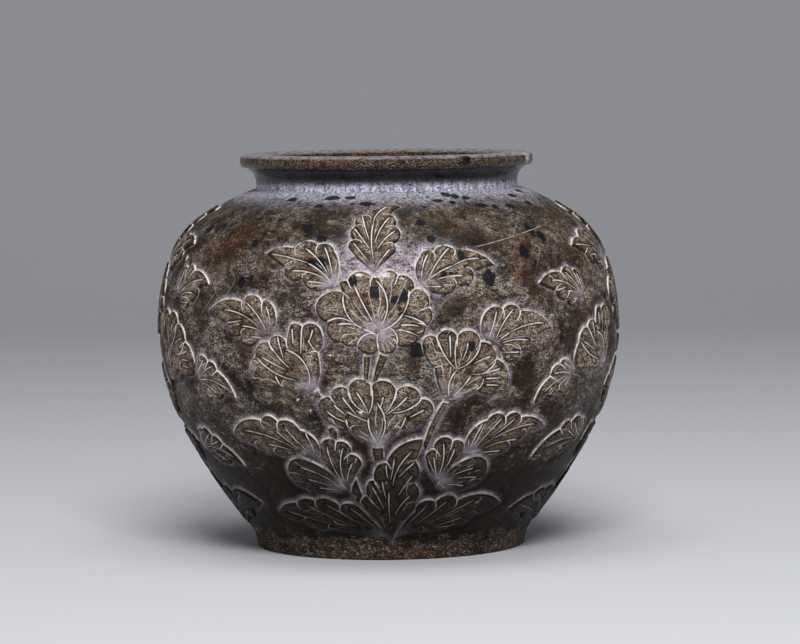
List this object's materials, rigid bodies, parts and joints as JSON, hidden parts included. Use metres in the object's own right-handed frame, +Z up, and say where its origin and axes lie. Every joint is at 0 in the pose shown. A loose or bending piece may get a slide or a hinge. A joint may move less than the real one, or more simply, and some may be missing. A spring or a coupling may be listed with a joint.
{
  "type": "martaban storage jar",
  "caption": "Round-bellied stoneware storage jar with a short flared neck, rolled lip and low-relief peony sprays.",
  "frame": {"origin": "on the floor at the middle of the foot ring", "axes": "+Z up along the jar's axis of turning, -Y towards the front peony spray, +X to its right"},
  "size_m": [0.24, 0.24, 0.2037],
  "materials": {
    "body": "mottled umber, semi-gloss",
    "rim": "brown, semi-gloss",
    "foot": "rust-mottled umber, satin",
    "relief": "mottled umber, semi-gloss, pale in the cut lines"
  },
  "bodies": {
    "root": {"back_base_leaves": "relief", "back_crown_leaf": "relief", "back_left_blossom": "relief", "back_lower_left_leaves": "relief", "back_lower_right_leaves": "relief", "back_main_blossom": "relief", "back_mid_left_leaf": "relief", "back_mid_right_leaf": "relief", "back_middle_blossom": "relief", "back_right_blossom": "relief", "back_stems": "relief", "back_upper_left_leaf": "relief", "back_upper_right_leaf": "relief", "base_disc": "foot", "foot_ring": "foot", "front_base_leaves": "relief", "front_crown_leaf": "relief", "front_left_blossom": "relief", "front_lower_left_leaves": "relief", "front_lower_right_leaves": "relief", "front_main_blossom": "relief", "front_mid_left_leaf": "relief", "front_mid_right_leaf": "relief", "front_middle_blossom": "relief", "front_right_blossom": "relief", "front_stems": "relief", "front_upper_left_leaf": "relief", "front_upper_right_leaf": "relief", "left_base_leaves": "relief", "left_crown_leaf": "relief", "left_left_blossom": "relief", "left_lower_left_leaves": "relief", "left_lower_right_leaves": "relief", "left_main_blossom": "relief", "left_mid_left_leaf": "relief", "left_mid_right_leaf": "relief", "left_middle_blossom": "relief", "left_right_blossom": "relief", "left_stems": "relief", "left_upper_left_leaf": "relief", "left_upper_right_leaf": "relief", "lip": "rim", "lower_wall": "body", "neck": "rim", "right_base_leaves": "relief", "right_crown_leaf": "relief", "right_left_blossom": "relief", "right_lower_left_leaves": "relief", "right_lower_right_leaves": "relief", "right_main_blossom": "relief", "right_mid_left_leaf": "relief", "right_mid_right_leaf": "relief", "right_middle_blossom": "relief", "right_right_blossom": "relief", "right_stems": "relief", "right_upper_left_leaf": "relief", "right_upper_right_leaf": "relief", "upper_wall": "body"}
  },
  "joints": []
}
